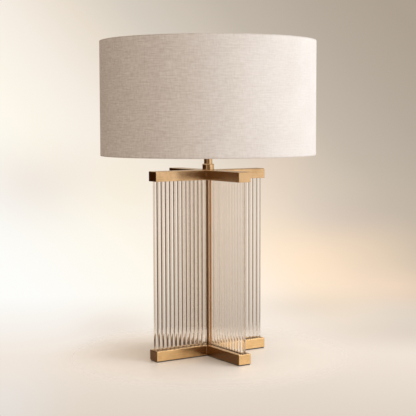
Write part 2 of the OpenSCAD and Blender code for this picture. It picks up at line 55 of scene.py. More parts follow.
def makeActive(*pieces):
    if bpy.context.object and bpy.context.object.mode != "OBJECT":
        bpy.ops.object.mode_set(mode="OBJECT")
    bpy.ops.object.select_all(action="DESELECT")
    for piece in pieces:
        piece.select_set(True)
    if pieces:
        bpy.context.view_layer.objects.active = pieces[0]


def startPiece(name):
    piece = bpy.context.object
    piece.name = name
    piece.data.name = name
    return piece


def settle(piece):  # the place goes into the mesh, and the object stands at the origin
    makeActive(piece)
    bpy.ops.object.transform_apply(location=True, rotation=True, scale=True)


def joinPieces(pieces, name):
    makeActive(*pieces)
    bpy.ops.object.join()
    return startPiece(name)


def duplicate(piece, shift):
    other = piece.copy()
    other.data = piece.data.copy()
    bpy.context.scene.collection.objects.link(other)
    other.data.transform(Matrix.Translation(shift))
    return other


def applyModifier(piece, kind, **values):
    makeActive(piece)
    modifier = piece.modifiers.new(kind.title(), kind)
    for key, value in values.items():
        setattr(modifier, key, value)
    bpy.ops.object.modifier_apply(modifier=modifier.name)


def roundEdges(piece, width, segments, above=meshCare["roundAbove"]):
    applyModifier(piece, "BEVEL", width=width, segments=segments, limit_method="ANGLE",
                  angle_limit=radians(above))


def smooth(piece, degrees=meshCare["smoothBelow"]):
    makeActive(piece)
    bpy.ops.object.shade_smooth_by_angle(angle=radians(degrees))


def cleanMesh(piece):
    makeActive(piece)
    bpy.ops.object.mode_set(mode="EDIT")
    bpy.ops.mesh.select_all(action="SELECT")
    bpy.ops.mesh.remove_doubles(threshold=meshCare["weld"])
    bpy.ops.mesh.normals_make_consistent(inside=False)
    bpy.ops.object.mode_set(mode="OBJECT")


def copyNode(node, name):  # the CAD solid as one clean mesh, its flat faces whole again
    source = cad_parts[node]
    piece = source.copy()
    piece.data = source.data.copy()
    piece.parent = None
    for key in list(piece.keys()):
        del piece[key]
    bpy.context.scene.collection.objects.link(piece)
    piece.data.materials.clear()
    makeActive(piece)
    bpy.ops.mesh.customdata_custom_splitnormals_clear()
    bpy.ops.object.mode_set(mode="EDIT")
    bpy.ops.mesh.select_all(action="SELECT")
    bpy.ops.mesh.remove_doubles(threshold=meshCare["weld"])
    bpy.ops.mesh.dissolve_limited(angle_limit=radians(meshCare["flatWithin"]))
    bpy.ops.object.mode_set(mode="OBJECT")
    return startPiece(name)


def dress(piece, material, body, node):
    piece.data.materials.clear()
    piece.data.materials.append(material)
    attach(piece, body)
    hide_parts(node)
    return piece


def drawProfile(name, points):  # an edge chain of [radius, height] points in the XZ plane
    makeActive()
    bpy.ops.mesh.primitive_plane_add(size=meshCare["start"], location=(0, 0, 0))
    piece = startPiece(name)
    bpy.ops.object.mode_set(mode="EDIT")
    bpy.ops.mesh.merge(type="CENTER")
    bpy.ops.transform.translate(value=(points[0][0], 0, points[0][1]))
    for before, after in zip(points, points[1:]):
        move = (after[0] - before[0], 0, after[1] - before[1])
        bpy.ops.mesh.extrude_region_move(TRANSFORM_OT_translate={"value": move})
    bpy.ops.object.mode_set(mode="OBJECT")
    return piece


def spinRound(piece, steps, angle):
    bpy.ops.object.mode_set(mode="EDIT")
    bpy.ops.mesh.select_all(action="SELECT")
    bpy.ops.mesh.spin(steps=steps, angle=angle, center=(0, 0, 0), axis=(0, 0, 1))
    bpy.ops.object.mode_set(mode="OBJECT")


def lathe(name, points, steps):
    piece = drawProfile(name, points)
    bpy.ops.object.mode_set(mode="EDIT")
    bpy.ops.mesh.select_all(action="SELECT")
    bpy.ops.mesh.remove_doubles(threshold=meshCare["profileWeld"])
    spinRound(piece, steps, 2 * pi)
    cleanMesh(piece)
    return piece


def arcPoints(centre, radius, start, end, count):
    angles = [radians(start + (end - start) * i / count) for i in range(count + 1)]
    return [(centre[0] + radius * cos(a), centre[1] + radius * sin(a)) for a in angles]


# shader helpers
noiseSpan = (0.3, 0.7)       # nearly all values of a noise lie between these


def newMaterial(name):
    material = bpy.data.materials.new(name)
    material.use_nodes = True
    return material, material.node_tree, material.node_tree.nodes["Principled BSDF"]


def feed(tree, node, inputs):  # links what comes from another node, and sets the rest
    for key, value in inputs.items():
        if isinstance(value, bpy.types.NodeSocket):
            tree.links.new(value, node.inputs[key])
        else:
            node.inputs[key].default_value = value


def addNode(tree, kind, inputs=None, **values):
    node = tree.nodes.new(kind)
    for key, value in values.items():
        setattr(node, key, value)
    feed(tree, node, inputs or {})
    return node


def mathNode(tree, operation, *values, clamp=False):
    return addNode(tree, "ShaderNodeMath", dict(enumerate(values)), operation=operation,
                   use_clamp=clamp).outputs[0]


def vectorMath(tree, operation, *values):
    return addNode(tree, "ShaderNodeVectorMath", dict(enumerate(values)), operation=operation).outputs


def times(tree, first, second):
    return mathNode(tree, "MULTIPLY", first, second)


def plus(tree, total, *others):
    for other in others:
        total = mathNode(tree, "ADD", total, other)
    return total


def mixColour(tree, factor, first, second, blend="MIX"):
    first, second = ((*value, 1) if isinstance(value, tuple) else value for value in (first, second))
    return addNode(tree, "ShaderNodeMix", {0: factor, 6: first, 7: second}, data_type="RGBA",
                   blend_type=blend).outputs[2]


def mapRange(tree, value, low, high, toLow, toHigh, curve="LINEAR"):
    return addNode(tree, "ShaderNodeMapRange", {0: value, 1: low, 2: high, 3: toLow, 4: toHigh},
                   interpolation_type=curve).outputs[0]


def drift(tree, value, low, high):  # a noise spread from low to high
    return mapRange(tree, value, *noiseSpan, low, high)


def noiseNode(tree, vector, scale, detail=3.0, roughness=0.55):
    return addNode(tree, "ShaderNodeTexNoise", {"Vector": vector, "Scale": scale, "Detail": detail,
                                                "Roughness": roughness}).outputs["Fac"]


def stretched(tree, vector, x, y, z=1.0):
    return addNode(tree, "ShaderNodeMapping", {"Vector": vector, "Scale": (x, y, z)}).outputs[0]


def separate(tree, vector):
    return addNode(tree, "ShaderNodeSeparateXYZ", {0: vector}).outputs


def objectPlace(tree):
    return addNode(tree, "ShaderNodeTexCoord").outputs["Object"]


def bumpNode(tree, height, strength, distance, normal=None):
    inputs = {"Height": height, "Strength": strength, "Distance": distance}
    if normal:
        inputs["Normal"] = normal
    return addNode(tree, "ShaderNodeBump", inputs).outputs[0]


# where the camera stands, measured from the lamp's axis on the table
cameraSetup = {
    "distance": 2.3517,
    "height": 0.5044,
    "aside": -0.0007,
    "fromFront": 32.764,     # its direction of view, in degrees from +Y towards +X
    "pitch": 4.578,
    "roll": 0.182,
    "focalPixels": 1103.5,
    "framePixels": 416,
    "sensor": 36.0,
}


def placeCamera(setup):
    turn, pitch, roll = (radians(setup[key]) for key in ("fromFront", "pitch", "roll"))
    ahead = Vector((sin(turn), cos(turn), 0))
    right = Vector((cos(turn), -sin(turn), 0))
    up = Vector((0, 0, 1))
    look = ahead * cos(pitch) - up * sin(pitch)
    top = up * cos(pitch) + ahead * sin(pitch)
    rightRolled = right * cos(roll) - top * sin(roll)
    topRolled = right * sin(roll) + top * cos(roll)
    data = bpy.data.cameras.new("camera")
    data.sensor_width = setup["sensor"]
    data.lens = setup["sensor"] * setup["focalPixels"] / setup["framePixels"]
    camera = bpy.data.objects.new("camera", data)
    bpy.context.scene.collection.objects.link(camera)
    place = right * setup["aside"] - ahead * setup["distance"] + up * setup["height"]
    axes = Matrix((rightRolled, topRolled, -look)).transposed().to_4x4()
    camera.matrix_world = Matrix.Translation(place) @ axes
    bpy.context.scene.camera = camera


placeCamera(cameraSetup)
print("camera placed")

# brushed brass; each noise is its scale, detail and roughness
brassFinish = {
    "polished": (0.81, 0.575, 0.345),
    "aged": (0.52, 0.325, 0.15),
    "shadeAndPatina": (0.24, 0.125, 0.05),           # painted shade in the corners, partly patina, and on the sides facing -X
    "wearAndGlint": (0.95, 0.76, 0.50),            # along the rounded edges: rubbed wear, partly a painted highlight
    "edge": 0.0009,
    "edgeGlint": (0.97, 0.80, 0.0, 0.8),    # an edge is painted lighter the further it has turned
    "edgeSamples": 6,
    "patches": (22.0, 4.0, 0.6),
    "clouds": (90.0, 3.0, 0.6),
    # from and to which value of each noise the brass ages, and how much
    "patchAge": (0.35, 0.7, 0.0, 0.55),
    "cloudAge": (0.45, 0.75, 0.0, 0.3),
    "lineAge": (0.42, 0.62, -0.12, 0.12),
    "roughness": (0.19, 0.26),
    "lineRoughness": 0.05,
    "cornerShade": (0.015, 0.06),               # the corners' painted shade, partly patina, fades out between these distances from the axis
    "cornerShadeDrift": 0.01,
    "shadedSideFrom": (-0.6, -0.9),              # painted shade: a side is painted darker as it turns from one to the other, towards -X, away from the light
    "lineScale": 900.0,                    # the brushed lines
    "lineLength": 0.02,                    # their scale lengthwise, as a share of that across
    "turnedLength": 0.05,
    "lineDetail": 4.0,
    "lineStrength": 0.5,
    "lineBump": 0.0000012,
    "tilt": 0.04,                          # keeps the brushing's direction off the faces' own
    "spread": 0.6,                         # how far the lines spread a reflection
}
baseFinish = dict(brassFinish, polished=(0.83, 0.56, 0.275), aged=(0.60, 0.38, 0.17),
                  shadeAndPatina=(0.16, 0.075, 0.028), cornerShade=(0.0, 0.04))
# the post's brass is painted much darker, as painted shade among the rods, and its edges are not painted
# lighter
postShadeFinish = dict(brassFinish, polished=(0.36, 0.175, 0.058), aged=(0.25, 0.12, 0.04),
                  shadeAndPatina=(0.09, 0.045, 0.016), wearAndGlint=(0.36, 0.175, 0.058), edge=0.0003, tilt=0.03)
turnedFinish = dict(brassFinish, roughness=(0.09, 0.15), spread=0.3, edge=0.0004)


# along: "bars" brushes each bar along its length, "up" brushes upright pieces, "round" is turned work
# shadeShare: how much of the dark colour is painted in the corners, as shade and partly patina, and on
# sides that face -X, as painted shade
def brassMaterial(name, along, finish, shadeShare=(0.0, 0.0)):
    material, tree, shader = newMaterial(name)
    place = objectPlace(tree)
    normal = addNode(tree, "ShaderNodeNewGeometry").outputs["Normal"]
    across, tilt = finish["lineScale"], finish["tilt"]
    lengthwise = across * finish["lineLength"]

    def brushed(x, y, z):
        return noiseNode(tree, stretched(tree, place, x, y, z), 1.0, finish["lineDetail"])

    if along == "bars":
        farX, farY = (mathNode(tree, "ABSOLUTE", part) for part in separate(tree, place)[:2])
        onX = mathNode(tree, "GREATER_THAN", farX, farY)
        offX = mathNode(tree, "SUBTRACT", 1.0, onX)
        linesX, linesY = brushed(lengthwise, across, across), brushed(across, lengthwise, across)
        lines = addNode(tree, "ShaderNodeMix", {0: onX, 2: linesY, 3: linesX},
                        data_type="FLOAT").outputs[0]
        grain = addNode(tree, "ShaderNodeCombineXYZ", {0: onX, 1: offX, 2: tilt}).outputs[0]
    elif along == "up":
        lines = brushed(across, across, lengthwise)
        grain = addNode(tree, "ShaderNodeCombineXYZ", {0: tilt, 1: tilt, 2: 1.0}).outputs[0]
    else:
        around = across * finish["turnedLength"]
        lines = brushed(around, around, across)
        grain = addNode(tree, "ShaderNodeTangent", direction_type="RADIAL", axis="Z").outputs[0]
    patches = noiseNode(tree, place, *finish["patches"])
    clouds = noiseNode(tree, place, *finish["clouds"])
    patchAge, cloudAge, lineAge = (mapRange(tree, value, *finish[key]) for value, key in
                                   ((patches, "patchAge"), (clouds, "cloudAge"), (lines, "lineAge")))
    age = mathNode(tree, "ADD", plus(tree, patchAge, cloudAge), lineAge, clamp=True)
    colour = mixColour(tree, age, finish["polished"], finish["aged"])
    # painted shade, partly patina, darkens the bars towards the cross's middle, where the arms meet
    if along == "bars":
        stray = drift(tree, clouds, -finish["cornerShadeDrift"], finish["cornerShadeDrift"])
        out = plus(tree, mathNode(tree, "MAXIMUM", farX, farY), stray)
        cornerShade = mapRange(tree, out, *finish["cornerShade"], shadeShare[0], 0.0)
        colour = mixColour(tree, cornerShade, colour, finish["shadeAndPatina"])
    # painted shade: faces turned towards -X are darkened
    side = mapRange(tree, separate(tree, normal)[0], *finish["shadedSideFrom"], 0.0, shadeShare[1])
    colour = mixColour(tree, side, colour, finish["shadeAndPatina"])
    # the rounded edges are painted lighter: partly rubbed wear, partly a painted highlight
    rounded = addNode(tree, "ShaderNodeBevel", {"Radius": finish["edge"]},
                      samples=finish["edgeSamples"]).outputs[0]
    turned = vectorMath(tree, "DOT_PRODUCT", rounded, normal)["Value"]
    colour = mixColour(tree, mapRange(tree, turned, *finish["edgeGlint"]), colour, finish["wearAndGlint"])
    rough = plus(tree, drift(tree, patches, *finish["roughness"]),
                 drift(tree, lines, -finish["lineRoughness"], finish["lineRoughness"]))
    tangent = vectorMath(tree, "CROSS_PRODUCT", normal, grain)["Vector"]
    relief = bumpNode(tree, lines, finish["lineStrength"], finish["lineBump"], rounded)
    feed(tree, shader, {"Base Color": colour, "Roughness": rough, "Metallic": 1.0, "Normal": relief,
                        "Anisotropic": finish["spread"], "Tangent": tangent})
    return material


baseBrass = brassMaterial("baseBrass", "bars", baseFinish, shadeShare=(0.4, 0.94))
topBrass = brassMaterial("topBrass", "bars", brassFinish, shadeShare=(0.12, 0.66))
uprightBrass = brassMaterial("uprightBrass", "up", postShadeFinish, shadeShare=(0.0, 0.9))
turnedBrass = brassMaterial("turnedBrass", "round", turnedFinish)

# zinc-plated steel and other plain metals
metalFinish = {
    "dull": 0.78,                # the spots' colour, as a share of the bright one
    "spots": (4.0, 0.6),         # detail and roughness of the noise
    "dullFrom": (0.35, 0.7),
    "rougher": (-0.08, 0.1),
    "strength": 0.2,
    "depth": 0.00003,
}


def metalMaterial(name, colour, roughness, grain):
    finish = metalFinish
    material, tree, shader = newMaterial(name)
    spots = noiseNode(tree, objectPlace(tree), grain, *finish["spots"])
    dull = tuple(c * finish["dull"] for c in colour)
    dulled = mapRange(tree, spots, *finish["dullFrom"], 0.0, 1.0)
    less, more = (roughness + change for change in finish["rougher"])
    feed(tree, shader, {"Base Color": mixColour(tree, dulled, colour, dull),
                        "Roughness": drift(tree, spots, less, more),
                        "Metallic": 1.0,
                        "Normal": bumpNode(tree, spots, finish["strength"], finish["depth"])})
    return material


zincSteel = metalMaterial("zincSteel", (0.62, 0.62, 0.64), roughness=0.34, grain=260.0)
contactBrass = metalMaterial("contactBrass", (0.52, 0.36, 0.17), roughness=0.36, grain=300.0)
capMetal = metalMaterial("capMetal", (0.72, 0.73, 0.75), roughness=0.26, grain=200.0)

# the clear glass of the rods, with a warm tint
glassFinish = {"tint": (0.990, 0.957, 0.922), "ior": 1.47, "roughness": 0.0}


def glassMaterial(name, finish):
    material, tree, shader = newMaterial(name)
    feed(tree, shader, {"Base Color": (*finish["tint"], 1), "Transmission Weight": 1.0,
                        "IOR": finish["ior"], "Roughness": finish["roughness"]})
    return material


rodGlass = glassMaterial("rodGlass", glassFinish)

# the bulb's frosted glass
opalFinish = {
    "colours": ((0.90, 0.89, 0.86), (0.84, 0.83, 0.80)),
    "mist": (60.0, 3.0),
    "roughness": (0.26, 0.36),
    "subsurface": 0.35,
    "subsurfaceScale": 0.004,
    "coat": 0.25,
}


def opalMaterial(name, finish):
    material, tree, shader = newMaterial(name)
    mist = noiseNode(tree, objectPlace(tree), *finish["mist"])
    feed(tree, shader, {"Base Color": mixColour(tree, mist, *finish["colours"]),
                        "Roughness": drift(tree, mist, *finish["roughness"]),
                        "Subsurface Weight": finish["subsurface"],
                        "Subsurface Scale": finish["subsurfaceScale"],
                        "Coat Weight": finish["coat"]})
    return material


opalGlass = opalMaterial("opalGlass", opalFinish)

# plastics, rubber, card and paint
mouldedFinish = {
    "paler": (1.18, 0.004),      # pale places: the colour times the first, plus the second
    "fine": (4.0, 0.6),
    "broad": (0.06, 2.0),        # the broad clouds' scale, as a share of the grain's, and their detail
    "rougher": 0.06,
    "strength": 0.4,
}


def mouldedMaterial(name, colour, roughness, grain, depth, coat=0.0, clouds=0.8):
    finish = mouldedFinish
    material, tree, shader = newMaterial(name)
    place = objectPlace(tree)
    fine = noiseNode(tree, place, grain, *finish["fine"])
    broad = noiseNode(tree, place, grain * finish["broad"][0], finish["broad"][1])
    pale = tuple(min(1.0, c * finish["paler"][0] + finish["paler"][1]) for c in colour)
    less, more = roughness - finish["rougher"], roughness + finish["rougher"]
    feed(tree, shader, {"Base Color": mixColour(tree, drift(tree, broad, 0.0, clouds), colour, pale),
                        "Roughness": drift(tree, fine, less, more),
                        "Coat Weight": coat,
                        "Normal": bumpNode(tree, fine, finish["strength"], depth)})
    return material


blackMoulding = mouldedMaterial("blackMoulding", (0.018, 0.017, 0.016), roughness=0.34,
                                grain=700.0, depth=0.00003, coat=0.2)
phenolic = mouldedMaterial("phenolic", (0.03, 0.024, 0.02), roughness=0.42, grain=500.0, depth=0.00004)
rubber = mouldedMaterial("rubber", (0.025, 0.025, 0.025), roughness=0.72, grain=600.0, depth=0.00006)
fibreCard = mouldedMaterial("fibreCard", (0.20, 0.115, 0.06), roughness=0.66,
                            grain=400.0, depth=0.00008)
whitePaint = mouldedMaterial("whitePaint", (0.74, 0.725, 0.69), roughness=0.40,
                             grain=420.0, depth=0.00005, coat=0.15)
styrene = mouldedMaterial("styrene", (0.84, 0.80, 0.74), roughness=0.48,
                          grain=240.0, depth=0.00004, clouds=0.15)

# oatmeal linen with thick places in its yarn
linenWeave = {
    "thread": 0.00085,           # from one thread to the next
    "sway": (40.0, 9.0),         # how often and how far the threads stray
    "light": (0.91, 0.86, 0.815),
    "dark": (0.50, 0.415, 0.35),
    # the thick places: how close they are round the drum and up it, and how strong
    "slubs": ((70.0, 330.0, 0.25), (22.0, 420.0, 0.17), (330.0, 70.0, 0.19)),
    "slubNoise": (2.0, 0.5),     # detail and roughness
    # painted light: the slubs fade towards the brightly lit side of the drum, as if the light washed them
    # out
    "uneven": (1.6, 0.35),       # the slubs' strength, from the drum's shaded side to its lit side
    "litSide": (0.184, -0.118),   # the lit side, where the slubs show least, seen from above
    "unevenFrom": (-0.8, 0.9),   # as shares of the way from the drum's middle to there
    "blotch": (14.0, 0.05),
    "flecks": (170.0, 420.0),
    "fleckDetail": 1.0,
    "fleckFrom": (0.76, 0.80, 0.0, 0.5),
    "ground": 0.27,              # how dark the cloth is, and what its threads, slubs and rims add
    "threadShade": 0.06,
    "slubShade": -0.42,
    "rimFoldAndShade": 0.3,
    "middle": 0.549,
    "rim": (0.1176, 0.1186),     # how far from it the turned edges show as dark lines, partly the doubled cloth and partly painted shade
    "roughness": 0.9,
    "sheen": 0.12,
    "sheenRoughness": 0.5,
    "threadRelief": 0.18,
    "relief": 0.00011,
}


def linenMaterial(name, weave):
    material, tree, shader = newMaterial(name)
    # the cloth's own map, in metres round the drum and up it
    flat = addNode(tree, "ShaderNodeUVMap", uv_map="cloth").outputs[0]
    parts = separate(tree, flat)
    turns = 2 * pi / weave["thread"]
    often, far = weave["sway"]
    sway = times(tree, noiseNode(tree, stretched(tree, flat, often, often), 1.0), far)
    warp, weft = (mathNode(tree, "SINE", plus(tree, times(tree, part, turns), sway))
                  for part in parts[:2])
    over = times(tree, warp, weft)
    slubs = []
    for around, upward, strength in weave["slubs"]:
        thick = noiseNode(tree, stretched(tree, flat, around, upward), 1.0, *weave["slubNoise"])
        slubs.append(times(tree, drift(tree, thick, -1.0, 1.0), strength))
    place = separate(tree, objectPlace(tree))
    x, y = weave["litSide"]
    side = plus(tree, times(tree, place[0], x), times(tree, place[1], y))
    shadedSideFrom, sideTo = (share * (x * x + y * y) for share in weave["unevenFrom"])
    slub = times(tree, plus(tree, *slubs), mapRange(tree, side, shadedSideFrom, sideTo, *weave["uneven"]))
    size, depth = weave["blotch"]
    blotch = drift(tree, noiseNode(tree, stretched(tree, flat, size, size), 1.0), -depth, depth)
    specks = noiseNode(tree, stretched(tree, flat, *weave["flecks"]), 1.0, weave["fleckDetail"])
    flecks = mapRange(tree, specks, *weave["fleckFrom"])
    fromMiddle = mathNode(tree, "ABSOLUTE", mathNode(tree, "SUBTRACT", parts[1], weave["middle"]))
    # a darker line along each turned edge: partly the doubled cloth, partly painted shade
    rim = mapRange(tree, fromMiddle, *weave["rim"], 0.0, weave["rimFoldAndShade"])
    tone = plus(tree, times(tree, over, weave["threadShade"]), times(tree, slub, weave["slubShade"]),
                blotch, flecks, rim)
    tone = mathNode(tree, "ADD", tone, weave["ground"], clamp=True)
    height = plus(tree, times(tree, over, weave["threadRelief"]), slub)
    feed(tree, shader, {"Base Color": mixColour(tree, tone, weave["light"], weave["dark"]),
                        "Roughness": weave["roughness"],
                        "Sheen Weight": weave["sheen"], "Sheen Roughness": weave["sheenRoughness"],
                        "Normal": bumpNode(tree, height, 1.0, weave["relief"])})
    return material


slubLinen = linenMaterial("slubLinen", linenWeave)

# dark wool felt
feltWool = {
    "fibres": (900.0, 5.0, 0.7),
    "tufts": (120.0, 3.0),
    "dark": (0.035, 0.03, 0.026),
    "light": (0.11, 0.10, 0.09),
    "roughness": 0.95,
    "sheen": 0.4,
    "strength": 0.7,
    "depth": 0.0002,
}


def feltMaterial(name, wool):
    material, tree, shader = newMaterial(name)
    place = objectPlace(tree)
    fibres = noiseNode(tree, place, *wool["fibres"])
    tufts = noiseNode(tree, place, *wool["tufts"])
    colour = mixColour(tree, times(tree, fibres, tufts), wool["dark"], wool["light"])
    feed(tree, shader, {"Base Color": colour, "Roughness": wool["roughness"],
                        "Sheen Weight": wool["sheen"],
                        "Normal": bumpNode(tree, fibres, wool["strength"], wool["depth"])})
    return material


woolFelt = feltMaterial("woolFelt", feltWool)
print("materials made")

# the four walls of glass rods
wallOfRods = {
    "facets": 64,
    "endRound": 0.0006,
    "endSegments": 3,
    "endAbove": 60,
    "sidesBelow": 10,        # keeps the rounded ends' shading off the long sides
    "wander": 0.00004,       # how far a rod may stand off its pitch
    "seed": 7,
}


def glassWall(node, name, dims):
    low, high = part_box(node)
    size, middle = high - low, (low + high) / 2
    alongX = size.x > size.y
    length, radius = max(size.x, size.y), min(size.x, size.y) / 2
    count = int(length / (2 * radius))
    pitch = (length - 2 * radius) / (count - 1)
    start = (low.x if alongX else low.y) + radius
    makeActive()
    bpy.ops.mesh.primitive_cylinder_add(vertices=dims["facets"], radius=radius, depth=size.z,
                                        end_fill_type="NGON", location=(0, 0, middle.z))
    rod = startPiece("rod")
    roundEdges(rod, dims["endRound"], dims["endSegments"], dims["endAbove"])
    settle(rod)
    rods = []
    for i in range(count):
        along = start + i * pitch + random.uniform(-1, 1) * dims["wander"]
        rods.append(duplicate(rod, (along, middle.y, 0) if alongX else (middle.x, along, 0)))
    bpy.data.objects.remove(rod)
    wall = joinPieces(rods, name)
    smooth(wall, dims["sidesBelow"])
    return dress(wall, rodGlass, "stand", node)


random.seed(wallOfRods["seed"])
for side in ("left", "right", "front", "rear"):
    glassWall(f"{side}_rods", f"{side}GlassWall", wallOfRods)
print("glass walls made")

# the crosses and the post, with softened edges
softEdges = {"cross": 0.00022, "post": 0.0002, "segments": 2}


def softenNode(node, name, material, width):
    piece = copyNode(node, name)
    roundEdges(piece, width, softEdges["segments"])
    smooth(piece)
    applyModifier(piece, "WEIGHTED_NORMAL", keep_sharp=True)
    return dress(piece, material, "stand", node)


softenNode("base_cross", "baseCross", baseBrass, softEdges["cross"])
softenNode("top_cross", "topCross", topBrass, softEdges["cross"])
softenNode("centre_post", "centrePost", uprightBrass, softEdges["post"])
print("crosses made")

# the felt under the base
feltCut = {
    "edgeRound": 0.0006,
    "edgeSegments": 3,
    "step": 0.004,
    "wander": 0.0004,        # how far the cut strays from a straight line
    "waves": 70.0,
    "ripples": (4, 0.4),     # smaller waves on these: how many times closer, and how strong
    "seed": 3,
}


def feltPad(dims):
    low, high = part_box("base_felt")
    pad = copyNode("base_felt", "feltPad")
    roundEdges(pad, dims["edgeRound"], dims["edgeSegments"])
    bpy.ops.object.mode_set(mode="EDIT")
    for axis, start, end in ((0, low.x, high.x), (1, low.y, high.y)):
        across = tuple(1.0 if i == axis else 0.0 for i in range(3))
        for i in range(1, int((end - start) / dims["step"])):
            bpy.ops.mesh.select_all(action="SELECT")
            cut = start + i * dims["step"]
            bpy.ops.mesh.bisect(plane_co=tuple(c * cut for c in across), plane_no=across)
    bpy.ops.object.mode_set(mode="OBJECT")
    closer, share = dims["ripples"]
    noise.seed_set(dims["seed"])
    for point in pad.data.vertices:
        at = point.co * dims["waves"]
        stray = noise.noise_vector(at) + noise.noise_vector(at * closer) * share
        point.co.x += stray.x * dims["wander"]
        point.co.y += stray.y * dims["wander"]
    smooth(pad)
    return dress(pad, woolFelt, "stand", "base_felt")


pad = feltPad(feltCut)
# cut in one piece from a square with the arms along its diagonals
print("felt made", len(pad.data.polygons))

# finishes on the solids that keep their shape
solidFinishes = {
    "neck_collar": turnedBrass, "neck_tube": turnedBrass, "neck_cap": turnedBrass,
    "collar_screw": contactBrass, "harp_saddle": turnedBrass, "harp_bow": turnedBrass,
    "harp_seat": turnedBrass, "left_sleeve": turnedBrass, "right_sleeve": turnedBrass,
    "finial": turnedBrass, "socket_cap": turnedBrass, "socket_shell": turnedBrass,
    "socket_insulator": fibreCard, "socket_body": phenolic, "screw_shell": contactBrass,
    "centre_contact": contactBrass, "terminal_screws": contactBrass, "switch_shaft": contactBrass,
    "switch_knob": blackMoulding, "bulb_glass": opalGlass, "bulb_cap": capMetal,
    "bulb_contact": contactBrass, "shade_spider": whitePaint, "shade_top_ring": whitePaint,
    "shade_bottom_ring": whitePaint, "shade_liner": styrene, "threaded_tube": zincSteel,
    "base_nut": zincSteel, "base_washer": zincSteel, "clamp_screws": zincSteel,
    "cord_clamp": phenolic, "cable_gland": turnedBrass, "lower_cushions": rubber,
    "upper_cushions": rubber,
}
for node, material in solidFinishes.items():
    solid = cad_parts[node]
    solid.data.materials.clear()
    solid.data.materials.append(material)

# the linen cover, turned in over both rims
shadeCloth = {
    "thickness": 0.0008,
    "thicknessShown": 0.9,   # the share of it that the cover takes, clear of the liner
    "rimRadius": 0.0005,
    "rimSteps": 6,
    "turnDepth": 0.0057,     # from the outside to where the turned-in edge hangs
    "turnRadius": 0.0012,
    "turnSteps": 4,
    "hem": 0.009,
    "wallRows": 24,
    "steps": 288,
    "smoothBelow": 60,
    "girthRadius": 0.2285,   # for the weave's map, in metres round the drum
}


def linenCover(dims):
    low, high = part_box("shade_cover")
    radius, bottom, top = high.x, low.z, high.z
    rim, turn, lip = dims["rimRadius"], dims["turnRadius"], high.x - dims["turnDepth"]
    rimSteps, turnSteps, rows = dims["rimSteps"], dims["turnSteps"], dims["wallRows"]
    tall = top - bottom - 2 * rim
    wall = [(radius, bottom + rim + tall * i / rows) for i in range(rows + 1)]
    rimTop = arcPoints((radius - rim, top - rim), rim, 0, 90, rimSteps)[1:]
    rimBottom = arcPoints((radius - rim, bottom + rim), rim, 270, 360, rimSteps)[:-1]
    turnTop = arcPoints((lip + turn, top - turn), turn, 90, 180, turnSteps)
    turnBottom = arcPoints((lip + turn, bottom + turn), turn, 180, 270, turnSteps)
    hemTop, hemBottom = (lip, top - dims["hem"]), (lip, bottom + dims["hem"])
    outline = [hemBottom] + turnBottom + rimBottom + wall + rimTop + turnTop + [hemTop]
    cover = lathe("linenCover", outline, dims["steps"])
    applyModifier(cover, "SOLIDIFY", thickness=dims["thickness"] * dims["thicknessShown"], offset=-1)
    return cover


def clothMap(piece, radius):  # metres round the drum and up it
    layer = piece.data.uv_layers.new(name="cloth")
    points = piece.data.vertices
    for face in piece.data.polygons:
        middle = atan2(face.center.y, face.center.x)
        for index in face.loop_indices:
            co = points[piece.data.loops[index].vertex_index].co
            turn = atan2(co.y, co.x)
            turn += 2 * pi * round((middle - turn) / (2 * pi))
            layer.data[index].uv = (turn * radius, co.z)


cover = linenCover(shadeCloth)
clothMap(cover, shadeCloth["girthRadius"])
smooth(cover, shadeCloth["smoothBelow"])
dress(cover, slubLinen, "shade", "shade_cover")
print("linen made", len(cover.data.polygons))

# the table, which melts into the backdrop round the lamp
floorPaint = {
    "colour": (0.95, 0.855, 0.75),
    "roughness": 0.42,
    "specular": 0.4,
    "radius": 1.2,
    "sides": 96,
    "height": -0.0003,
    "fade": (0.17, 0.36),    # it melts away between these distances from the lamp
    "touching": 0.0008,      # light that starts closer to it than this passes through
}


def clearMix(tree, share, shader):  # the paint, clear by the share given
    clear = addNode(tree, "ShaderNodeBsdfTransparent").outputs[0]
    mix = addNode(tree, "ShaderNodeMixShader", {0: share, 1: shader.outputs[0], 2: clear})
    tree.links.new(mix.outputs[0], tree.nodes["Material Output"].inputs[0])


def buildFloor(values):
    makeActive()
    bpy.ops.mesh.primitive_circle_add(vertices=values["sides"], radius=values["radius"],
                                      fill_type="NGON", location=(0, 0, values["height"]))
    floor = startPiece("floor")
    material, tree, shader = newMaterial("floorPaint")
    feed(tree, shader, {"Base Color": (*values["colour"], 1), "Roughness": values["roughness"],
                        "Specular IOR Level": values["specular"]})
    away = vectorMath(tree, "LENGTH", objectPlace(tree))["Value"]
    fade = mapRange(tree, away, *values["fade"], 0.0, 1.0, curve="SMOOTHSTEP")
    # from below the floor is clear, and so it is for the light on the felt that lies on it
    below = addNode(tree, "ShaderNodeNewGeometry").outputs["Backfacing"]
    length = addNode(tree, "ShaderNodeLightPath").outputs["Ray Length"]
    touching = mathNode(tree, "LESS_THAN", length, values["touching"])
    clearMix(tree, mathNode(tree, "MAXIMUM", fade, mathNode(tree, "MAXIMUM", below, touching)), shader)
    floor.data.materials.append(material)


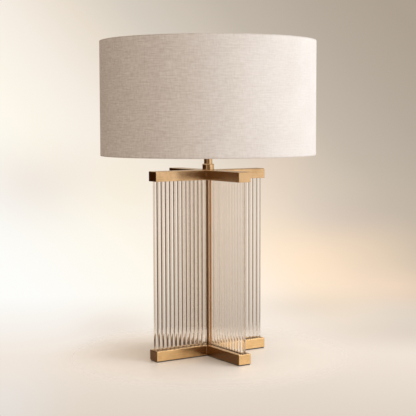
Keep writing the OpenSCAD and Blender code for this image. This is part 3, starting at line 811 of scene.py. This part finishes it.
# the room, painted in the world: colours by degrees to the right of the stage's front
darkBack, darkSide = (0.15, 0.115, 0.085), (0.04, 0.025, 0.012)
plainWall, frontWall, brightWall = (0.82, 0.75, 0.67), (0.76, 0.655, 0.555), (1.02, 0.94, 0.85)
lowFront, lowBright, highBack = (0.73, 0.63, 0.53), (1.08, 1.00, 0.90), (1.38, 1.12, 0.88)
roomPaint = {
    "facing": cameraSetup["fromFront"],
    # at table height, from where it lights the object
    "low": [(-180, darkBack), (-152, darkBack), (-120, darkSide), (-32, darkSide),
            (-24, (0.66, 0.57, 0.48)), (-16, lowFront), (84, lowFront), (98, lowBright),
            (138, lowBright), (152, darkBack), (180, darkBack)],
    # and above it, where most of the light comes from
    "high": [(-180, highBack), (-110, (0.22, 0.08, 0.005)), (-40, (0.20, 0.105, 0.04)),
             (10, (0.88, 0.85, 0.82)), (60, (1.27, 1.41, 1.52)), (120, (1.30, 1.50, 1.72)),
             (160, (1.40, 1.37, 1.34)), (180, highBack)],
    "highFrom": (5, 18),
    # the walls as they are seen, which light nothing
    "wall": [(-180, plainWall), (-32, plainWall), (-16, frontWall), (84, frontWall), (98, brightWall),
             (138, brightWall), (160, plainWall), (180, plainWall)],
    "ceiling": (1.10, 1.05, 0.98),
    "ceilingFrom": (38, 68),
    "under": (0.80, 0.73, 0.66),
    "underFrom": (-16, -30),
    "ground": (0.885, 0.79, 0.69),       # what the camera alone sees past the lit floor
    "groundFrom": (-3, -11),
    # the sweep behind the lamp, along a slanting line from pale to tan
    "sweep": [(-0.34, (0.985, 0.98, 0.95)), (-0.20, (0.99, 0.945, 0.84)),
              (-0.105, (0.915, 0.84, 0.755)), (-0.04, (0.81, 0.725, 0.615)),
              (0.02, (0.67, 0.61, 0.53)), (0.075, (0.61, 0.54, 0.455)), (0.12, (0.54, 0.475, 0.395)),
              (0.20, (0.474, 0.407, 0.337)), (0.29, (0.42, 0.355, 0.283))],
    "slant": 1.15,
    # the sweep's foot, by height
    "front": [(-0.270, (0.71, 0.62, 0.53)), (-0.245, (0.785, 0.695, 0.605)),
              (-0.227, (0.845, 0.745, 0.65)), (-0.209, (0.88, 0.785, 0.695)), (-0.19, (0.87, 0.79, 0.71))],
    "frontFrom": (-9, -12),
    # soft patches on the sweep, painted light where they add and painted shadow where they take away:
    # place across and up, half width, half height, and what they add to its colour or take away
    "patches": [(0.105, -0.125, 0.085, 0.05, "ADD", (0.22, 0.10, 0.0)),
                (0.061, -0.044, 0.032, 0.035, "ADD", (0.09, 0.03, 0.0)),
                (0.180, -0.152, 0.055, 0.016, "ADD", (0.13, 0.06, 0.03)),
                (-0.190, -0.270, 0.045, 0.050, "ADD", (0.03, 0.08, 0.13)),
                (-0.155, -0.056, 0.060, 0.034, "SUBTRACT", (0.10, 0.13, 0.12)),
                (-0.071, -0.056, 0.030, 0.035, "SUBTRACT", (0.0, 0.015, 0.06)),
                (0.129, -0.088, 0.050, 0.02, "SUBTRACT", (0.08, 0.055, 0.01)),
                (0.170, -0.193, 0.080, 0.013, "SUBTRACT", (0.06, 0.07, 0.07)),
                (0.086, -0.170, 0.050, 0.012, "SUBTRACT", (0.09, 0.08, 0.07)),
                (-0.085, -0.188, 0.035, 0.015, "SUBTRACT", (0.06, 0.09, 0.10))],
    "sweepSides": (11.2, 15.0),          # the sweep ends between these directions
    "sweepHeights": (12.0, 24.0),
    "least": 0.05,                       # keeps the sweep's slopes from running away
    "bell": 2.718,                       # gives the patches their soft edge
}


def rampNode(tree, value, stops):
    low, high = stops[0][0], stops[-1][0]
    ramp = addNode(tree, "ShaderNodeValToRGB", {0: mapRange(tree, value, low, high, 0.0, 1.0)})
    elements = ramp.color_ramp.elements
    while len(elements) < len(stops):
        elements.new(0.5)
    for element, (at, colour) in zip(elements, stops):
        element.position = (at - low) / (high - low)
    for element, (at, colour) in zip(elements, stops):
        element.color = (*colour, 1)
    return ramp.outputs[0]


def buildWorld(values):
    world = bpy.data.worlds.new("studio")
    bpy.context.scene.world = world
    world.use_nodes = True
    tree = world.node_tree
    outward = addNode(tree, "ShaderNodeTexCoord").outputs["Generated"]
    turned = addNode(tree, "ShaderNodeVectorRotate", {0: outward, "Angle": radians(values["facing"])},
                     rotation_type="Z_AXIS")
    right, ahead, up = separate(tree, turned.outputs[0])
    flat = mathNode(tree, "SQRT", mathNode(tree, "SUBTRACT", 1.0, times(tree, up, up)))
    turn = times(tree, mathNode(tree, "ARCTAN2", right, ahead), 180 / pi)
    rise = times(tree, mathNode(tree, "ARCTAN2", up, flat), 180 / pi)

    def past(limits):  # 0 to 1 as the rise goes from the first limit to the second
        return mapRange(tree, rise, *limits, 0.0, 1.0)

    room = mixColour(tree, past(values["highFrom"]), rampNode(tree, turn, values["low"]),
                     rampNode(tree, turn, values["high"]))
    path = addNode(tree, "ShaderNodeLightPath").outputs
    direct = mathNode(tree, "MAXIMUM", path["Is Camera Ray"], path["Is Glossy Ray"])
    direct = mathNode(tree, "MAXIMUM", direct, path["Is Transmission Ray"])
    room = mixColour(tree, direct, room, rampNode(tree, turn, values["wall"]))
    room = mixColour(tree, past(values["ceilingFrom"]), room, values["ceiling"])
    room = mixColour(tree, past(values["underFrom"]), room, values["under"])
    ground = times(tree, path["Is Camera Ray"], past(values["groundFrom"]))
    room = mixColour(tree, ground, room, values["ground"])

    across = mathNode(tree, "DIVIDE", right, mathNode(tree, "MAXIMUM", ahead, values["least"]))
    height = mathNode(tree, "DIVIDE", up, mathNode(tree, "MAXIMUM", flat, values["least"]))
    sweep = rampNode(tree, plus(tree, times(tree, across, values["slant"]), height), values["sweep"])
    sweep = mixColour(tree, past(values["frontFrom"]), sweep, rampNode(tree, height, values["front"]))
    # painted pools of light and painted shadows on the sweep
    for middleX, middleY, halfX, halfY, blend, colour in values["patches"]:
        offX = mathNode(tree, "DIVIDE", mathNode(tree, "SUBTRACT", across, middleX), halfX)
        offY = mathNode(tree, "DIVIDE", mathNode(tree, "SUBTRACT", height, middleY), halfY)
        out = plus(tree, times(tree, offX, offX), times(tree, offY, offY))
        paintedPatch = mathNode(tree, "POWER", values["bell"], times(tree, out, -1.0))
        sweep = mixColour(tree, paintedPatch, sweep, colour, blend=blend)
    beside = mapRange(tree, mathNode(tree, "ABSOLUTE", turn), *values["sweepSides"], 1.0, 0.0)
    above = mapRange(tree, mathNode(tree, "ABSOLUTE", rise), *values["sweepHeights"], 1.0, 0.0)
    seen = mixColour(tree, times(tree, beside, above), room, sweep)
    feed(tree, tree.nodes["Background"], {"Color": seen, "Strength": 1.0})


# dark cloths round the lamp, none of which the camera sees: glassFlag gives the glass its dark lines,
# sideFlag and cameraFlag show in polished faces alone, and the skirt dims what the glass shows near
# the table; directions are in degrees to the right of the stage's front, and the edges fade out
flagCloths = {
    "glassFlag": {"from": -75, "to": -24, "radius": 1.6, "low": -0.5, "high": 1.9, "edge": 3.0,
                  "colour": (0.095, 0.045, 0.018), "throughGlass": True},
    "sideFlag": {"from": -145, "to": -33, "radius": 1.55, "low": -0.5, "high": 1.9, "edge": 6.0,
                 "colour": (0.055, 0.020, 0.004), "throughGlass": False},
    "cameraFlag": {"from": -218, "to": -146, "radius": 2.7, "low": -0.5, "high": 0.9, "edge": 8.0,
                   "colour": (0.30, 0.235, 0.17), "throughGlass": False},
}
flagSteps = 24
darkSkirt = {"radius": 1.7, "sides": 96, "low": -0.7, "full": -0.35, "clear": 0.16, "dark": 0.32,
             "colour": (0.10, 0.07, 0.05)}


def hangCloth(name, cloth, colour, clearness):
    material, tree, shader = newMaterial(name + "Cloth")
    feed(tree, shader, {"Base Color": (*colour, 1), "Roughness": 1.0, "Specular IOR Level": 0.0})
    clearMix(tree, clearness(tree, separate(tree, objectPlace(tree))), shader)
    cloth.data.materials.append(material)
    cloth.visible_camera = False
    cloth.visible_diffuse = False
    cloth.visible_shadow = False


def buildFlag(name, values, front):  # an upright curved cloth between two directions
    wide = radians(values["to"] - values["from"])
    flag = drawProfile(name, [(values["radius"], values["low"]), (values["radius"], values["high"])])
    spinRound(flag, flagSteps, wide)
    middle = sum((point.co for point in flag.data.vertices), Vector()) / len(flag.data.vertices)
    aim = pi / 2 - radians(front + (values["from"] + values["to"]) / 2)
    flag.data.transform(Matrix.Rotation(aim - atan2(middle.y, middle.x), 4, "Z"))

    def sides(tree, parts):  # clear at both ends, by the angle from the cloth's middle
        x, y = parts[:2]
        along = plus(tree, times(tree, x, cos(aim)), times(tree, y, sin(aim)))
        across = mathNode(tree, "SUBTRACT", times(tree, y, cos(aim)), times(tree, x, sin(aim)))
        off = mathNode(tree, "ABSOLUTE", mathNode(tree, "ARCTAN2", across, along))
        return mapRange(tree, off, wide / 2 - radians(values["edge"]), wide / 2, 0.0, 1.0)

    hangCloth(name, flag, values["colour"], sides)
    flag.visible_transmission = values["throughGlass"]


def buildSkirt(name, values):
    makeActive()
    tall = values["clear"] - values["low"]
    middle = values["low"] + tall / 2
    bpy.ops.mesh.primitive_cylinder_add(vertices=values["sides"], radius=values["radius"], depth=tall,
                                        end_fill_type="NOTHING", location=(0, 0, middle))
    skirt = startPiece(name)
    settle(skirt)

    def upward(tree, parts):  # darkest at the foot
        return mapRange(tree, parts[2], values["full"], values["clear"], 1.0 - values["dark"], 1.0)

    hangCloth(name, skirt, values["colour"], upward)
    skirt.visible_glossy = False


# one large soft lamp on the right
keyLight = {
    "place": (1.9, -2.1, 1.8),
    "aim": (0, 0, 0.3),
    "size": (1.3, 1.3),
    "energy": 29.5,
    "colour": (0.93, 0.98, 1.07),
}
lightBounces = 32            # enough for light to pass through many rods


def areaLight(name, values):
    data = bpy.data.lights.new(name, "AREA")
    data.shape = "RECTANGLE"
    data.size, data.size_y = values["size"]
    data.energy = values["energy"]
    data.color = values["colour"]
    lamp = bpy.data.objects.new(name, data)
    bpy.context.scene.collection.objects.link(lamp)
    lamp.location = values["place"]
    away = Vector(values["aim"]) - Vector(values["place"])
    lamp.rotation_euler = away.to_track_quat("-Z", "Y").to_euler()


buildFloor(floorPaint)
for name, values in flagCloths.items():
    buildFlag(name, values, roomPaint["facing"])
buildSkirt("darkSkirt", darkSkirt)
buildWorld(roomPaint)
areaLight("keyLight", keyLight)
bpy.context.scene.cycles.max_bounces = lightBounces
bpy.context.scene.cycles.transmission_bounces = lightBounces
bpy.context.scene.view_settings.view_transform = "Standard"
print("stage set")
